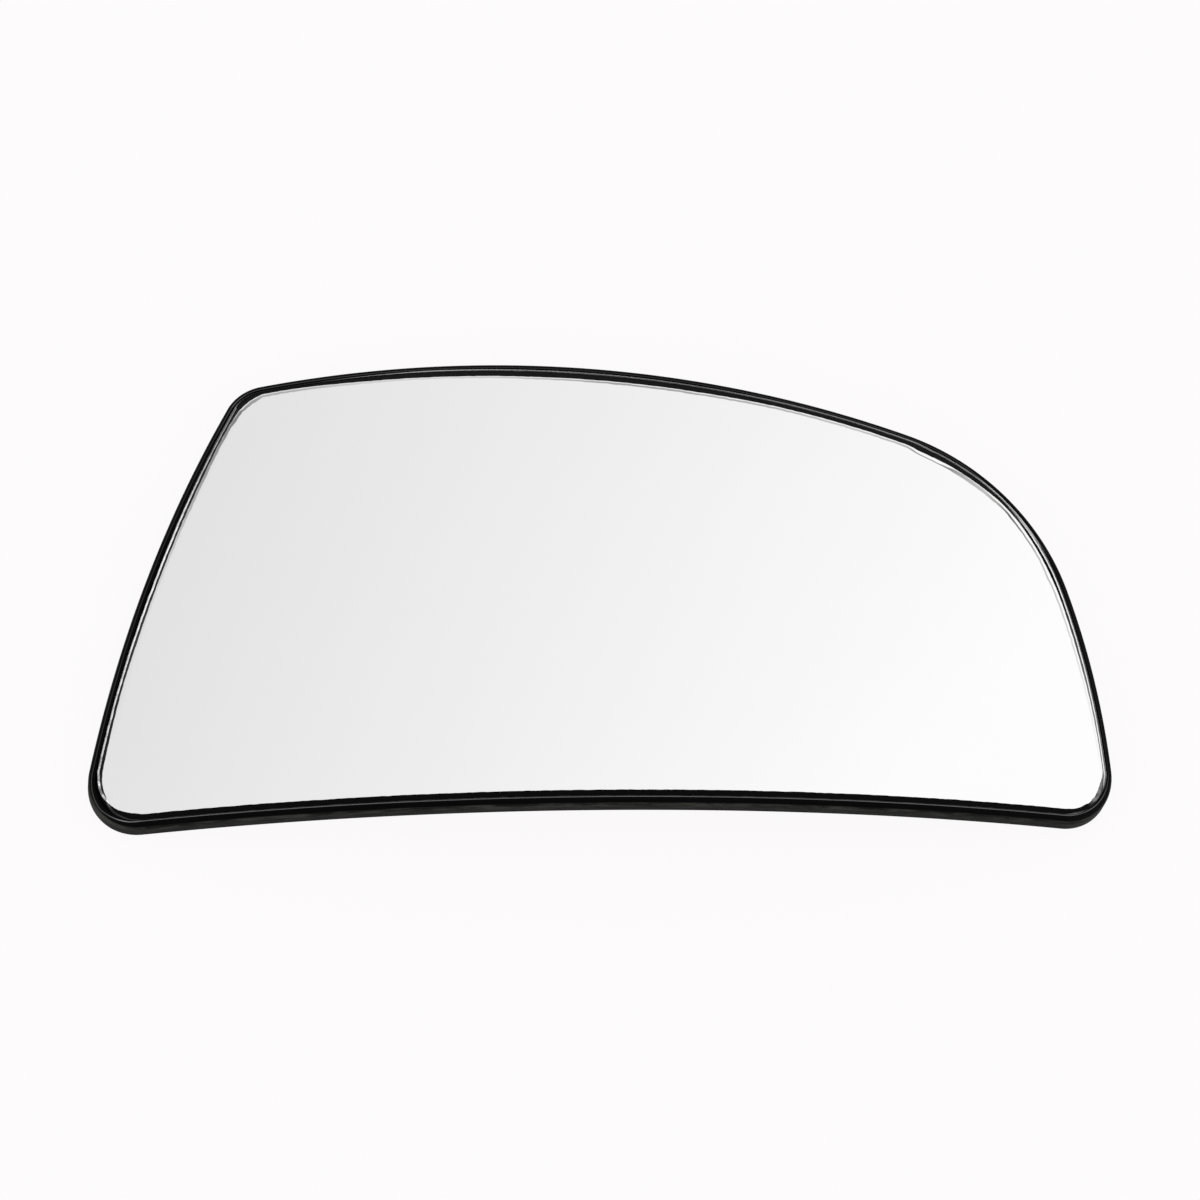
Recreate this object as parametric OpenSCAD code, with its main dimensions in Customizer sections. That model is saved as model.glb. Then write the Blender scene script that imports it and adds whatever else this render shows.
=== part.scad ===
// Convex glass for a car door mirror, bonded into a moulded backing plate.
// It lies on its back with the glass up. X runs along the straight lower edge, and
// the part stands on three corners of the rim, which lie level.
// Depths are measured square to the domed front face, positive towards the back.

/* [Glass outline] */
// Radius of the lower right corner
lower_right_r = 9.5; // [4:0.5:16]
// How far the edge turns round the lower right corner, in degrees
lower_right_turn = 93; // [90:0.5:96]
// Radius of the right side
right_r = 182; // [150:2:220]
// How far the edge turns along the right side, in degrees
right_turn = 12; // [9:0.5:15]
// Radius of the broad upper right shoulder
shoulder_r = 44; // [36:1:52]
// How far the edge turns round the shoulder, in degrees
shoulder_turn = 58; // [55:0.5:61]
// Radius of the top edge
top_r = 310; // [270:5:350]
// How far the edge turns along the top, in degrees
top_turn = 24; // [21:0.5:27]
// Radius of the upper left corner
upper_left_r = 7; // [4:0.5:12]
// How far the edge turns round the upper left corner, in degrees
upper_left_turn = 56; // [53:0.5:59]
// How far the edge turns along the left side, in degrees
left_turn = 15; // [12:0.5:18]
// Radius of the lower left corner
lower_left_r = 8.8; // [4:0.2:14]

/* [Glass] */
// Thickness of the glass
glass_t = 1.8; // [1.6:0.1:3]
// Radius of the domed front face
dome_r = 300; // [270:5:400]
// How far the top of the dome lies below the middle of the outline
apex_drop = 27.7; // [22:0.1:34]
// Width of the ground chamfer round the front, seen from above
chamfer_w = 1.0; // [0.5:0.1:1.6]
// Height of the ground chamfer down the edge
chamfer_h = 0.8; // [0.4:0.1:1.2]

/* [Adhesive pad] */
// Thickness of the adhesive foam sheet
pad_t = 0.4; // [0.3:0.1:1]
// How far the foam sheet stops short of the edge of the glass
pad_inset = 3; // [1:0.5:8]

/* [Backing plate] */
// Thickness of the plate behind the glass
floor_t = 1.4; // [1.2:0.1:3]
// Clearance between the edge of the glass and the rim
rim_gap = 0.15; // [0.1:0.05:0.4]
// Width of the rim's rounded shoulder
rim_w = 1.4; // [1.2:0.1:2.4]
// Height of the rim's rounded shoulder
rim_round_h = 1.2; // [0.6:0.1:2]
// How far the rim's crest stands above the face of the glass
rim_proud = 0.1; // [0.05:0.05:0.6]
// How far the rim reaches behind the plate
foot_h = 0.3; // [0.2:0.1:1]
// Draft of the rim's outer wall, in degrees
rim_draft = 2; // [0:0.5:5]

/* [Stiffening ribs] */
// Thickness of the ribs on the back
rib_t = 1.2; // [0.8:0.1:2]
// Height of the rib that runs beside the edge
edge_rib_h = 2; // [1:0.1:2.4]
// Distance of that rib from the edge of the glass
rib_inset = 12; // [9:0.5:18]
// Radius inside that rib's corners
rib_corner_r = 6; // [3:0.5:12]
// Height of the ribs that run out from the clip ring
spoke_h = 1.6; // [1:0.1:2.4]
// Number of ribs that run out from the clip ring
spoke_count = 12; // [6:2:16]

/* [Clip ring] */
// Radius inside the clip ring
clip_r = 24; // [20:0.5:26]
// Thickness of the ring's wall and fingers
clip_wall = 1.8; // [1.4:0.1:2.4]
// How far the ring stands out behind the plate
clip_depth = 10; // [8.5:0.5:12]
// Length of the spring fingers
finger_len = 6; // [4:0.5:7]
// Number of spring fingers
finger_count = 8; // [6:1:10]
// Width of the slots between the fingers
slot_w = 3; // [2:0.5:4]
// How far the bead round the finger tips stands out
bead_out = 0.7; // [0.3:0.1:1.2]
// Height of the bead round the finger tips
bead_h = 1.6; // [1:0.1:2.4]
// Size of the lead-in round the ring's mouth
lead_in = 0.5; // [0.3:0.1:0.8]

/* [Hidden] */

// Largest gap between a curved stretch of the outline and its chords
outline_sag = 0.02;
// Longest step along the straight lower edge
straight_step = 8;
// Facets round the domed faces, round the clip ring and round the ends of its slots
dome_facets = 360;
ring_facets = 96;
slot_facets = 24;
// Turn between two points of the rim's rounded shoulder
round_step = 15;
// How far cutting and joining shapes run past the faces they cut or join
over = 1;

glass_colour = [0.86, 0.88, 0.89];
foam_colour = [0.30, 0.30, 0.31];
plate_colour = [0.04, 0.04, 0.042];

// The outline is a closed chain of arcs that run into each other, anticlockwise from
// the right end of the straight lower edge. The last corner turns what is left, and
// the left side's radius and the lower edge's length close the chain.
lower_left_turn = 360 - lower_right_turn - right_turn - shoulder_turn - top_turn
    - upper_left_turn - left_turn;
turns = [lower_right_turn, right_turn, shoulder_turn, top_turn, upper_left_turn,
    left_turn, lower_left_turn];
set_radii = [lower_right_r, right_r, shoulder_r, top_r, upper_left_r, 0, lower_left_r];
left = len(turns) - 2;

function heading(i) = i == 0 ? 0 : heading(i - 1) + turns[i - 1];
function outward(a) = [sin(a), -cos(a)];
function swing(i) = outward(heading(i) + turns[i]) - outward(heading(i));
function total(v, i = 0) = i == len(v) ? [0, 0] : v[i] + total(v, i + 1);

open_end = total([for (i = [0 : len(turns) - 1]) set_radii[i] * swing(i)]);
left_r = -open_end.y / swing(left).y;
lower_len = -open_end.x - left_r * swing(left).x;
radii = [for (i = [0 : len(turns) - 1]) i == left ? left_r : set_radii[i]];

function centre(i) = i == 0 ? [lower_len, radii[0]]
    : centre(i - 1) + (radii[i - 1] - radii[i]) * outward(heading(i));
function steps(i) = ceil(turns[i] / (2 * acos(1 - outline_sag / radii[i])));

// Each station is a centre, a radius and a direction. The point of the outline at a
// station lies at the radius from the centre, and an offset adds to the radius.
lower_steps = ceil(lower_len / straight_step);
lower_stations = [for (k = [1 : lower_steps - 1]) [[lower_len * k / lower_steps, 0], 0, 0]];
arc_stations = [for (i = [0 : len(turns) - 1]) let (n = steps(i), last = len(turns) - 1)
    for (k = [0 : n - (i == last ? 0 : 1)]) [centre(i), radii[i], heading(i) + turns[i] * k / n]];
free_stations = concat(lower_stations, arc_stations);

function point_at(s, offset) = s[0] + (s[1] + offset) * outward(s[2]);

// The middle of the plan lies at the origin
rim_out = rim_gap + rim_w + (glass_t + pad_t + floor_t + foot_h - rim_round_h) * tan(rim_draft);
free_outer = [for (s = free_stations) point_at(s, rim_out)];
middle = [
    max([for (p = free_outer) p.x]) + min([for (p = free_outer) p.x]),
    max([for (p = free_outer) p.y]) + min([for (p = free_outer) p.y])] / 2;
stations = [for (s = free_stations) [s[0] - middle, s[1], s[2]]];

function outline(offset) = [for (s = stations) point_at(s, offset)];

// Depths of the faces behind the front of the glass
pad_back = glass_t + pad_t;
plate_back = pad_back + floor_t;
foot_back = plate_back + foot_h;
// What stands on the back of the plate is rooted inside it, each at its own depth
clip_root = pad_back + floor_t * 0.4;
spoke_root = pad_back + floor_t * 0.5;
edge_rib_root = pad_back + floor_t * 0.6;

apex = [0, -apex_drop];
function dome_z(p, depth) = sqrt(pow(dome_r - depth, 2) - (p - apex) * (p - apex)) - dome_r;

// The clip ring stands square to the dome behind the middle of the outline
clip_tilt = asin(apex_drop / (dome_r - plate_back));
mouth = dome_r - plate_back - clip_depth;
finger_out = clip_r + clip_wall + bead_out;
mouth_low = mouth * cos(clip_tilt) - finger_out * sin(clip_tilt) - dome_r;

// The lowest point, which is a corner of the rim, rests on the surface at zero
lift = -min(mouth_low, min([for (p = outline(rim_out)) dome_z(p, foot_back)]));

// The rim's section, as offsets from the edge of the glass and depths
rim_section = concat(
    [[rim_gap, foot_back], [rim_gap, -rim_proud]],
    [for (a = [round_step : round_step : 90])
        [rim_gap + rim_w * sin(a), rim_round_h * (1 - cos(a)) - rim_proud]],
    [[rim_out, foot_back]]);

// The wedge that the grinding takes off the front edge of the glass
chamfer_slope = chamfer_h / chamfer_w;
chamfer_section = [
    [over, chamfer_h + over * chamfer_slope],
    [-chamfer_w - over, -over * chamfer_slope],
    [over, -over * chamfer_slope]];

// Moves shapes from the middle of the dome's sphere to its place
module from_sphere_middle() {
    translate([apex.x, apex.y, lift - dome_r])
        children();
}

// Everything in the sphere at the depth, with its poles laid sideways so that the
// dome is one unbroken patch
module in_dome(depth) {
    from_sphere_middle()
        rotate([90, 0, 0])
            sphere(r = dome_r - depth, $fn = dome_facets);
}

// What a flat shape covers between two depths
module domed_layer(front, back) {
    difference() {
        intersection() {
            translate([0, 0, -over])
                linear_extrude(height = lift + 2 * over)
                    children();
            in_dome(front);
        }
        in_dome(back);
    }
}

// A section carried round the outline, at the dome's own height all the way
module round_the_edge(section) {
    m = len(section);
    n = len(stations);
    points = [for (s = stations) for (q = section)
        let (p = point_at(s, q[0])) [p.x, p.y, lift + dome_z(p, q[1])]];
    faces = [for (k = [0 : n - 1]) for (j = [0 : m - 1])
        let (a = k * m + j, b = k * m + (j + 1) % m,
            c = ((k + 1) % n) * m + (j + 1) % m, d = ((k + 1) % n) * m + j)
        each [[a, c, b], [a, d, c]]];
    polyhedron(points = points, faces = faces, convexity = 6);
}

module mirror_glass() {
    color(glass_colour)
        difference() {
            domed_layer(0, glass_t) polygon(outline(0));
            round_the_edge(chamfer_section);
        }
}

module adhesive_pad() {
    color(foam_colour)
        domed_layer(glass_t, pad_back) polygon(outline(-pad_inset));
}

// The outline drawn in further than its own corners are round, with rounder corners
module drawn_in(inset, corner_r) {
    offset(r = corner_r, $fn = ring_facets)
        offset(delta = -inset - corner_r)
            polygon(outline(0));
}

// Rib that runs beside the edge all the way round
module edge_rib() {
    domed_layer(edge_rib_root, plate_back + edge_rib_h)
        difference() {
            drawn_in(rib_inset, rib_corner_r + rib_t);
            drawn_in(rib_inset + rib_t, rib_corner_r);
        }
}

// Ribs from the clip ring out to the rib beside the edge
module spokes() {
    domed_layer(spoke_root, plate_back + spoke_h)
        intersection() {
            drawn_in(rib_inset + rib_t / 2, rib_corner_r + rib_t / 2);
            for (i = [0 : spoke_count - 1])
                rotate(360 * (i + 0.5) / spoke_count)
                    translate([clip_r + clip_wall / 2, -rib_t / 2])
                        square([lower_len, rib_t]);
        }
}

// Round collar with spring fingers that grip the head of the mirror's adjuster
module clip_ring() {
    outer_r = clip_r + clip_wall;
    slot_out = clip_wall + bead_out + 2 * over;
    slot_round = mouth + finger_len - slot_w / 2;
    intersection() {
        from_sphere_middle()
            rotate([-clip_tilt, 0, 0])
                difference() {
                    rotate_extrude($fn = ring_facets)
                        polygon([
                            [clip_r, dome_r],
                            [clip_r, mouth + lead_in],
                            [clip_r + lead_in, mouth],
                            [outer_r, mouth],
                            [finger_out, mouth + bead_out],
                            [finger_out, mouth + bead_h],
                            [outer_r, mouth + bead_h + bead_out],
                            [outer_r, dome_r]]);
                    for (i = [0 : finger_count - 1])
                        rotate(360 * i / finger_count)
                            translate([clip_r - over, 0, 0]) {
                                translate([0, -slot_w / 2, mouth - over])
                                    cube([slot_out, slot_w, slot_round - mouth + over]);
                                translate([0, 0, slot_round])
                                    rotate([0, 90, 0])
                                        cylinder(r = slot_w / 2, h = slot_out, $fn = slot_facets);
                            }
                }
        in_dome(clip_root);
    }
}

module backing_plate() {
    color(plate_colour)
        union() {
            domed_layer(pad_back, plate_back) polygon(outline(rim_gap + rim_w / 2));
            round_the_edge(rim_section);
            edge_rib();
            spokes();
            clip_ring();
        }
}

mirror_glass();
adhesive_pad();
backing_plate();
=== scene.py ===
import math
from collections import namedtuple

import bmesh
import bpy
from bpy.props import FloatProperty, FloatVectorProperty, IntProperty, PointerProperty
from bpy.types import Operator, Panel, PropertyGroup
from mathutils import Matrix, Vector, noise
from mathutils.kdtree import KDTree


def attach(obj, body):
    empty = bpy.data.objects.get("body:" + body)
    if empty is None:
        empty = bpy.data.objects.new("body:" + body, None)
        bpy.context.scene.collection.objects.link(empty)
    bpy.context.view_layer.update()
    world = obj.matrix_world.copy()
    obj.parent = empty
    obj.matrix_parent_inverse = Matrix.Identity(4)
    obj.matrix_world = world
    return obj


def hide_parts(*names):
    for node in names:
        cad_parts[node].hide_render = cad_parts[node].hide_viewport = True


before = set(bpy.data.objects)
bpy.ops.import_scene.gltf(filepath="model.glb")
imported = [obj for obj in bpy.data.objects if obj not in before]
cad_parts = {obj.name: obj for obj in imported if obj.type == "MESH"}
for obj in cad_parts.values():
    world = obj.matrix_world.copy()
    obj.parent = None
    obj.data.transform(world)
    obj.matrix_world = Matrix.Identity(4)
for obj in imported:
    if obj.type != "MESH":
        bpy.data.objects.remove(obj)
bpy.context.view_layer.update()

bl_info = {
    "name": "Car Door Mirror Glass",
    "version": (1, 0, 0),
    "blender": (4, 5, 0),
    "location": "3D View > Sidebar > Mirror Glass",
    "description": "Domed mirror glass bonded into a moulded backing plate, on a pale studio floor",
    "category": "Object",
}

MM = 0.001
BODY = "root"


# Kinds of setting
def length(name, description, mm):
    return FloatProperty(name=name, description=description, default=mm * MM,
                         subtype="DISTANCE", unit="LENGTH", precision=5)


def angle(name, description, degrees):
    return FloatProperty(name=name, description=description, default=math.radians(degrees),
                         subtype="ANGLE", unit="ROTATION")


def share(name, description, value, top=1.0):
    return FloatProperty(name=name, description=description, default=value, min=0.0, max=top)


def colour(name, description, value):
    return FloatVectorProperty(name=name, description=description, default=value,
                               subtype="COLOR", size=3, min=0.0, max=1.0)


def place(name, description, mm):
    return FloatVectorProperty(name=name, description=description, size=3,
                               default=[v * MM for v in mm], subtype="XYZ", unit="LENGTH")


class OutlineSizes(PropertyGroup):
    """The edge of the glass in plan, a chain of arcs that starts at the lower right."""

    lower_right_r: length("Lower Right Radius", "Radius of the lower right corner", 9.5)
    lower_right_turn: angle("Lower Right Turn", "How far the edge turns round that corner", 93)
    right_r: length("Right Radius", "Radius of the right side", 182)
    right_turn: angle("Right Turn", "How far the edge turns along the right side", 12)
    shoulder_r: length("Shoulder Radius", "Radius of the broad upper right shoulder", 44)
    shoulder_turn: angle("Shoulder Turn", "How far the edge turns round the shoulder", 58)
    top_r: length("Top Radius", "Radius of the top edge", 310)
    top_turn: angle("Top Turn", "How far the edge turns along the top", 24)
    upper_left_r: length("Upper Left Radius", "Radius of the upper left corner", 7)
    upper_left_turn: angle("Upper Left Turn", "How far the edge turns round that corner", 56)
    left_turn: angle("Left Turn", "How far the edge turns along the left side", 15)
    lower_left_r: length("Lower Left Radius", "Radius of the lower left corner", 8.8)
    step: length("Step", "Distance between two points of a dense edge", 0.6)


class GlassSizes(PropertyGroup):
    """The domed glass, its ground edge and the foam behind it."""

    thickness: length("Thickness", "Thickness of the glass", 1.8)
    dome_r: length("Dome Radius", "Radius of the domed front face", 300)
    apex_drop: length("Apex Drop", "How far the top of the dome lies below the middle", 27.7)
    chamfer_w: length("Chamfer Width", "Width of the ground chamfer round the front", 1.0)
    chamfer_h: length("Chamfer Height", "Height of the ground chamfer down the edge", 0.3)
    waver: length("Waver", "How far the hand that ground the chamfer strayed", 0.07)
    seam: length("Back Seam", "Width of the blunted edge round the back", 0.15)
    border: length("Border", "Width of the even border of the meshes round the edge", 2.2)
    inner: length("Inner Border", "Where the domed faces start to draw in to the middle", 4)
    pad_t: length("Foam Thickness", "Thickness of the adhesive foam sheet", 0.4)


class PlateSizes(PropertyGroup):
    """The moulded backing plate."""

    floor_t: length("Floor Thickness", "Thickness of the plate behind the glass", 1.4)
    rim_gap: length("Rim Gap", "Clearance between the edge of the glass and the rim", 0.15)
    rim_w: length("Rim Width", "Width of the rim's rounded shoulder", 1.4)
    rim_round_h: length("Rim Round", "Height of the rim's rounded shoulder", 1.2)
    rim_proud: length("Rim Proud", "How far the rim stands above the face of the glass", 0.1)
    crest_edge: length("Crest Edge", "Size of the worn inner edge of the rim's crest", 0.16)
    foot_h: length("Foot Height", "How far the rim reaches behind the plate", 0.3)
    foot_edge: length("Foot Edge", "Radius of the rim's edge underneath", 0.12)
    draft: angle("Draft", "Draft of the rim's outer wall", 2)
    rib_t: length("Rib Thickness", "Thickness of the ribs on the back", 1.2)
    rib_edge: length("Rib Edge", "Radius along the top edges of the ribs", 0.25)
    rib_root: length("Rib Root Fillet", "Fillet where a rib leaves the plate", 0.45)
    edge_rib_h: length("Edge Rib Height", "Height of the rib beside the edge", 2)
    rib_inset: length("Rib Inset", "Distance of that rib from the edge of the glass", 12)
    rib_corner_r: length("Rib Corner Radius", "Radius inside that rib's corners", 6)
    spoke_h: length("Spoke Height", "Height of the ribs that run out from the clip ring", 1.6)
    spoke_count: IntProperty(name="Spokes", description="Number of those ribs", default=12, min=3)
    clip_r: length("Clip Radius", "Radius inside the clip ring", 24)
    clip_wall: length("Clip Wall", "Thickness of the ring's wall and fingers", 1.8)
    clip_depth: length("Clip Depth", "How far the ring stands out behind the plate", 10)
    finger_len: length("Finger Length", "Length of the spring fingers", 6)
    finger_count: IntProperty(name="Fingers", description="Number of fingers", default=8, min=3)
    slot_w: length("Slot Width", "Width of the slots between the fingers", 3)
    bead_out: length("Bead", "How far the bead round the finger tips stands out", 0.7)
    bead_h: length("Bead Height", "Height of the bead round the finger tips", 1.6)
    bead_edge: length("Bead Edge", "Bevel along the edges of the bead", 0.15)
    lead_in: length("Lead-in", "Size of the lead-in round the ring's mouth", 0.5)


class FinishSettings(PropertyGroup):
    """Colours and finishes."""

    silver: colour("Silver", "What the mirror gives back of the light", (0.985, 0.985, 0.985))
    # The ground glass colour is the lightest tone of the edge's painted reflections
    ground: colour("Ground Glass", "The chamfer where it is lightest", (0.97, 0.975, 0.975))
    bare: colour("Bare Glass", "Clear glass over the paint", (0.003, 0.003, 0.003))
    paint: colour("Backing Paint", "The paint behind the silver", (0.05, 0.05, 0.055))
    plastic: colour("Black Plastic", "The moulded plate", (0.0115, 0.012, 0.0105))
    # The smooth plastic tone is painted shade on the rim's shoulder, and the dark end of the streaks
    # and painted sheen on its outer wall
    plastic_dark_and_shade: colour("Smooth Plastic", "The rounded shoulder of the rim", (0.002, 0.002, 0.002))
    # The scuffed plastic tone is real scuffing on the plate, and the light end of the painted sheen
    # on the rim's outer wall
    plastic_worn_and_sheen: colour("Scuffed Plastic", "The plate where it is rubbed", (0.030, 0.032, 0.027))
    gloss: share("Plastic Gloss", "Strength of the plastic's reflections", 0.012)
    foam: colour("Foam", "The adhesive foam sheet", (0.06, 0.06, 0.062))


class StageSettings(PropertyGroup):
    """Camera, floor and light."""

    camera_at: place("Camera Place", "Where the camera stands", (-85.386, -278.627, 741.287))
    camera_aim: place("Camera Aim", "What the camera looks at", (-0.708, -2.408, 10.0))
    camera_roll: angle("Camera Roll", "Turn of the camera about its own axis", -2.33)
    lens: FloatProperty(name="Lens", description="Focal length", default=121.0,
                        subtype="DISTANCE_CAMERA", unit="CAMERA")
    floor_size: length("Floor Size", "Side of the square floor", 9000)
    floor_colour: colour("Floor", "Colour of the floor", (0.9, 0.89, 0.895))
    floor_glow: colour("Floor Glow", "The floor as it is seen", (0.99, 0.975, 0.983))
    floor_own: share("Floor Own", "How much of the floor's look is its glow", 0.94)
    ambient: share("Ambient", "Strength of the light from all round", 0.85, 4.0)
    sky_dim: colour("Dim Sky", "The studio towards the back left", (0.712, 0.712, 0.712))
    sky_bright: colour("Bright Sky", "The studio towards the front right", (1.0, 1.0, 1.0))
    sky_dark: colour("Dark Side", "The studio behind the camera", (0.10, 0.10, 0.10))
    lamp_power: FloatProperty(name="Lamp Power", description="Power of each softbox", default=7.0,
                              min=0.0, unit="POWER")
    lamp_size: length("Lamp Size", "Side of each square softbox", 700)
    left_lamp: place("Left Lamp", "Where the left softbox hangs", (-1250, -350, 330))
    right_lamp: place("Right Lamp", "Where the right softbox hangs", (1250, -350, 330))


class MirrorGlassSettings(PropertyGroup):
    """All settings of the part and its stage."""

    outline: PointerProperty(type=OutlineSizes)
    glass: PointerProperty(type=GlassSizes)
    plate: PointerProperty(type=PlateSizes)
    finish: PointerProperty(type=FinishSettings)
    stage: PointerProperty(type=StageSettings)


def settings():
    return bpy.context.scene.mirror_glass


# The outline in plan
def outward(turn):
    return Vector((math.sin(turn), -math.cos(turn)))


def turn_of(direction):
    """The turn at which outward() gives the direction, from zero to a full turn."""
    return math.atan2(direction.x, -direction.y) % math.tau


# A stretch of an edge about a centre, from one turn to another
Arc = namedtuple("Arc", "centre radius start end")


class Station:
    """A place on an edge, at a radius from a centre and in the direction of a turn."""

    def __init__(self, centre, radius, turn):
        self.centre = centre
        self.radius = radius
        self.out = outward(turn)

    def point(self, offset):
        return self.centre + (self.radius + offset) * self.out


class Edge:
    """A closed edge: arcs that run into each other, closed by a straight run along the bottom."""

    FINEST_TURN = math.radians(4)

    def __init__(self, arcs):
        self.arcs = arcs

    def stations(self, step):
        found = []
        first, last = self.arcs[0], self.arcs[-1]
        start = last.centre + last.radius * outward(0)
        end = first.centre + first.radius * outward(0)
        pieces = math.ceil((end - start).length / step)
        found += [Station(start.lerp(end, k / pieces), 0, 0) for k in range(1, pieces)]
        for arc in self.arcs:
            turn = arc.end - arc.start
            pieces = max(math.ceil(turn * arc.radius / step), math.ceil(turn / self.FINEST_TURN))
            whole = pieces + 1 if arc is last else pieces
            found += [Station(arc.centre, arc.radius, arc.start + turn * k / pieces)
                      for k in range(whole)]
        return found


class Form:
    """The shapes that every piece follows: the outline of the glass, the dome and the depths."""

    STRETCHES = ("lower_right", "right", "shoulder", "top", "upper_left", "left", "lower_left")
    RIGHT, SHOULDER, TOP, LEFT = 1, 2, 3, 5

    def __init__(self, chosen):
        edge, glass, plate = chosen.outline, chosen.glass, chosen.plate
        self.glass = glass
        self.plate = plate
        self.step = edge.step
        self.pad_back = glass.thickness + glass.pad_t
        self.plate_back = self.pad_back + plate.floor_t
        self.foot_back = self.plate_back + plate.foot_h
        wall_h = self.foot_back - plate.rim_round_h
        self.rim_out = plate.rim_gap + plate.rim_w + wall_h * math.tan(plate.draft)
        self.arcs = self.chain_of_arcs(edge)
        self.centre_on_the_rim()
        self.edge = Edge(self.arcs)
        self.apex = Vector((0, -glass.apex_drop))
        self.clip_tilt = math.asin(glass.apex_drop / (glass.dome_r - self.plate_back))
        self.lift = 0.0
        self.lift = self.height_above_the_floor()

    def chain_of_arcs(self, edge):
        """Arcs from the lower right corner round to the lower left. The last corner turns
        what is left, and the left side's radius and the lower edge's length close the chain."""
        turns = [getattr(edge, name + "_turn") for name in self.STRETCHES[:-1]]
        turns.append(math.tau - sum(turns))
        radii = [getattr(edge, name + "_r", 0.0) for name in self.STRETCHES]
        starts = [sum(turns[:i]) for i in range(len(turns) + 1)]
        swings = [outward(starts[i + 1]) - outward(starts[i]) for i in range(len(turns))]
        open_end = sum((r * s for r, s in zip(radii, swings)), Vector((0, 0)))
        radii[self.LEFT] = -open_end.y / swings[self.LEFT].y
        lower_len = -open_end.x - radii[self.LEFT] * swings[self.LEFT].x
        centre = Vector((lower_len, radii[0]))
        arcs = []
        for i, radius in enumerate(radii):
            if i > 0:
                centre = centre + (radii[i - 1] - radius) * outward(starts[i])
            arcs.append(Arc(centre, radius, starts[i], starts[i + 1]))
        return arcs

    def centre_on_the_rim(self):
        """Moves the chain so that the middle of the rim's box lies at the origin."""
        outer = [s.point(self.rim_out) for s in Edge(self.arcs).stations(self.step)]
        across = [p.x for p in outer]
        along = [p.y for p in outer]
        middle = Vector((max(across) + min(across), max(along) + min(along))) / 2
        self.arcs = [arc._replace(centre=arc.centre - middle) for arc in self.arcs]

    def height_above_the_floor(self):
        """Height of the dome's top when the lowest of the rim and the clip ring is at zero."""
        plate = self.plate
        mouth = self.glass.dome_r - self.plate_back - plate.clip_depth
        finger_out = plate.clip_r + plate.clip_wall + plate.bead_out
        mouth_low = (mouth * math.cos(self.clip_tilt) - finger_out * math.sin(self.clip_tilt)
                     - self.glass.dome_r)
        rim_low = min(self.on_dome(s.point(self.rim_out), self.foot_back).z
                      for s in self.edge.stations(self.step))
        return -min(mouth_low, rim_low)

    def on_dome(self, point, depth):
        """The place in space of a point in plan, at a depth behind the front of the glass."""
        radius = self.glass.dome_r - depth
        fall = math.sqrt(radius ** 2 - (point - self.apex).length_squared) - self.glass.dome_r
        return Vector((point.x, point.y, self.lift + fall))

    def sphere_middle(self):
        return Vector((self.apex.x, self.apex.y, self.lift - self.glass.dome_r))

    def drawn_in(self, inset, corner_r):
        """The edge drawn in past its own small corners, which are rounded again."""
        depth = inset + corner_r
        right, shoulder, top, left = (self.arcs[i] for i in
                                      (self.RIGHT, self.SHOULDER, self.TOP, self.LEFT))
        base_y = self.arcs[0].centre.y - self.arcs[0].radius + depth
        lower_right = level_meets_arc(right, depth, base_y, 1)
        lower_left = level_meets_arc(left, depth, base_y, -1)
        upper_left = arcs_meet(top, left, depth)
        right_low = turn_of(lower_right - right.centre)
        top_end = turn_of(upper_left - top.centre)
        left_top = turn_of(upper_left - left.centre)
        left_low = turn_of(lower_left - left.centre)
        return Edge([
            Arc(lower_right, corner_r, 0.0, right_low),
            Arc(right.centre, right.radius - inset, right_low, right.end),
            Arc(shoulder.centre, shoulder.radius - inset, shoulder.start, shoulder.end),
            Arc(top.centre, top.radius - inset, top.start, top_end),
            Arc(upper_left, corner_r, top_end, left_top),
            Arc(left.centre, left.radius - inset, left_top, left_low),
            Arc(lower_left, corner_r, left_low, math.tau),
        ])


def level_meets_arc(arc, depth, y, side):
    """Where the arc, drawn in by the depth, meets a level line on one side of its centre."""
    radius = arc.radius - depth
    reach = math.sqrt(radius ** 2 - (y - arc.centre.y) ** 2)
    return Vector((arc.centre.x + side * reach, y))


def arcs_meet(first, second, depth):
    """Where two arcs, drawn in by the depth, meet at the upper left."""
    r1, r2 = first.radius - depth, second.radius - depth
    between = second.centre - first.centre
    gap = between.length
    along = (r1 ** 2 - r2 ** 2 + gap ** 2) / (2 * gap)
    aside = math.sqrt(r1 ** 2 - along ** 2)
    unit = between / gap
    corners = [first.centre + along * unit + side * aside * Vector((-unit.y, unit.x))
               for side in (1, -1)]
    return max(corners, key=lambda p: p.y)


# Small tools for meshes
SAME_POINT = 1e-7


def link(name, mesh):
    made = bpy.data.objects.new(name, mesh)
    bpy.context.scene.collection.objects.link(made)
    return made


def evaluated_mesh(obj, name):
    """The mesh that the object's modifiers make, as a plain mesh."""
    bpy.context.view_layer.update()
    graph = bpy.context.evaluated_depsgraph_get()
    mesh = bpy.data.meshes.new_from_object(obj.evaluated_get(graph))
    mesh.name = name
    return mesh


def remove(obj):
    mesh = obj.data
    bpy.data.objects.remove(obj)
    bpy.data.meshes.remove(mesh)


def face_outwards(mesh):
    """Turns every closed shell of the mesh right side out."""
    work = bmesh.new()
    work.from_mesh(mesh)
    bmesh.ops.remove_doubles(work, verts=work.verts, dist=SAME_POINT)
    bmesh.ops.recalc_face_normals(work, faces=work.faces)
    work.to_mesh(mesh)
    work.free()


def shade(mesh, crease):
    """Smooth shading that breaks at edges sharper than the crease."""
    mesh.shade_smooth()
    mesh.set_sharp_from_angle(angle=crease)


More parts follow.
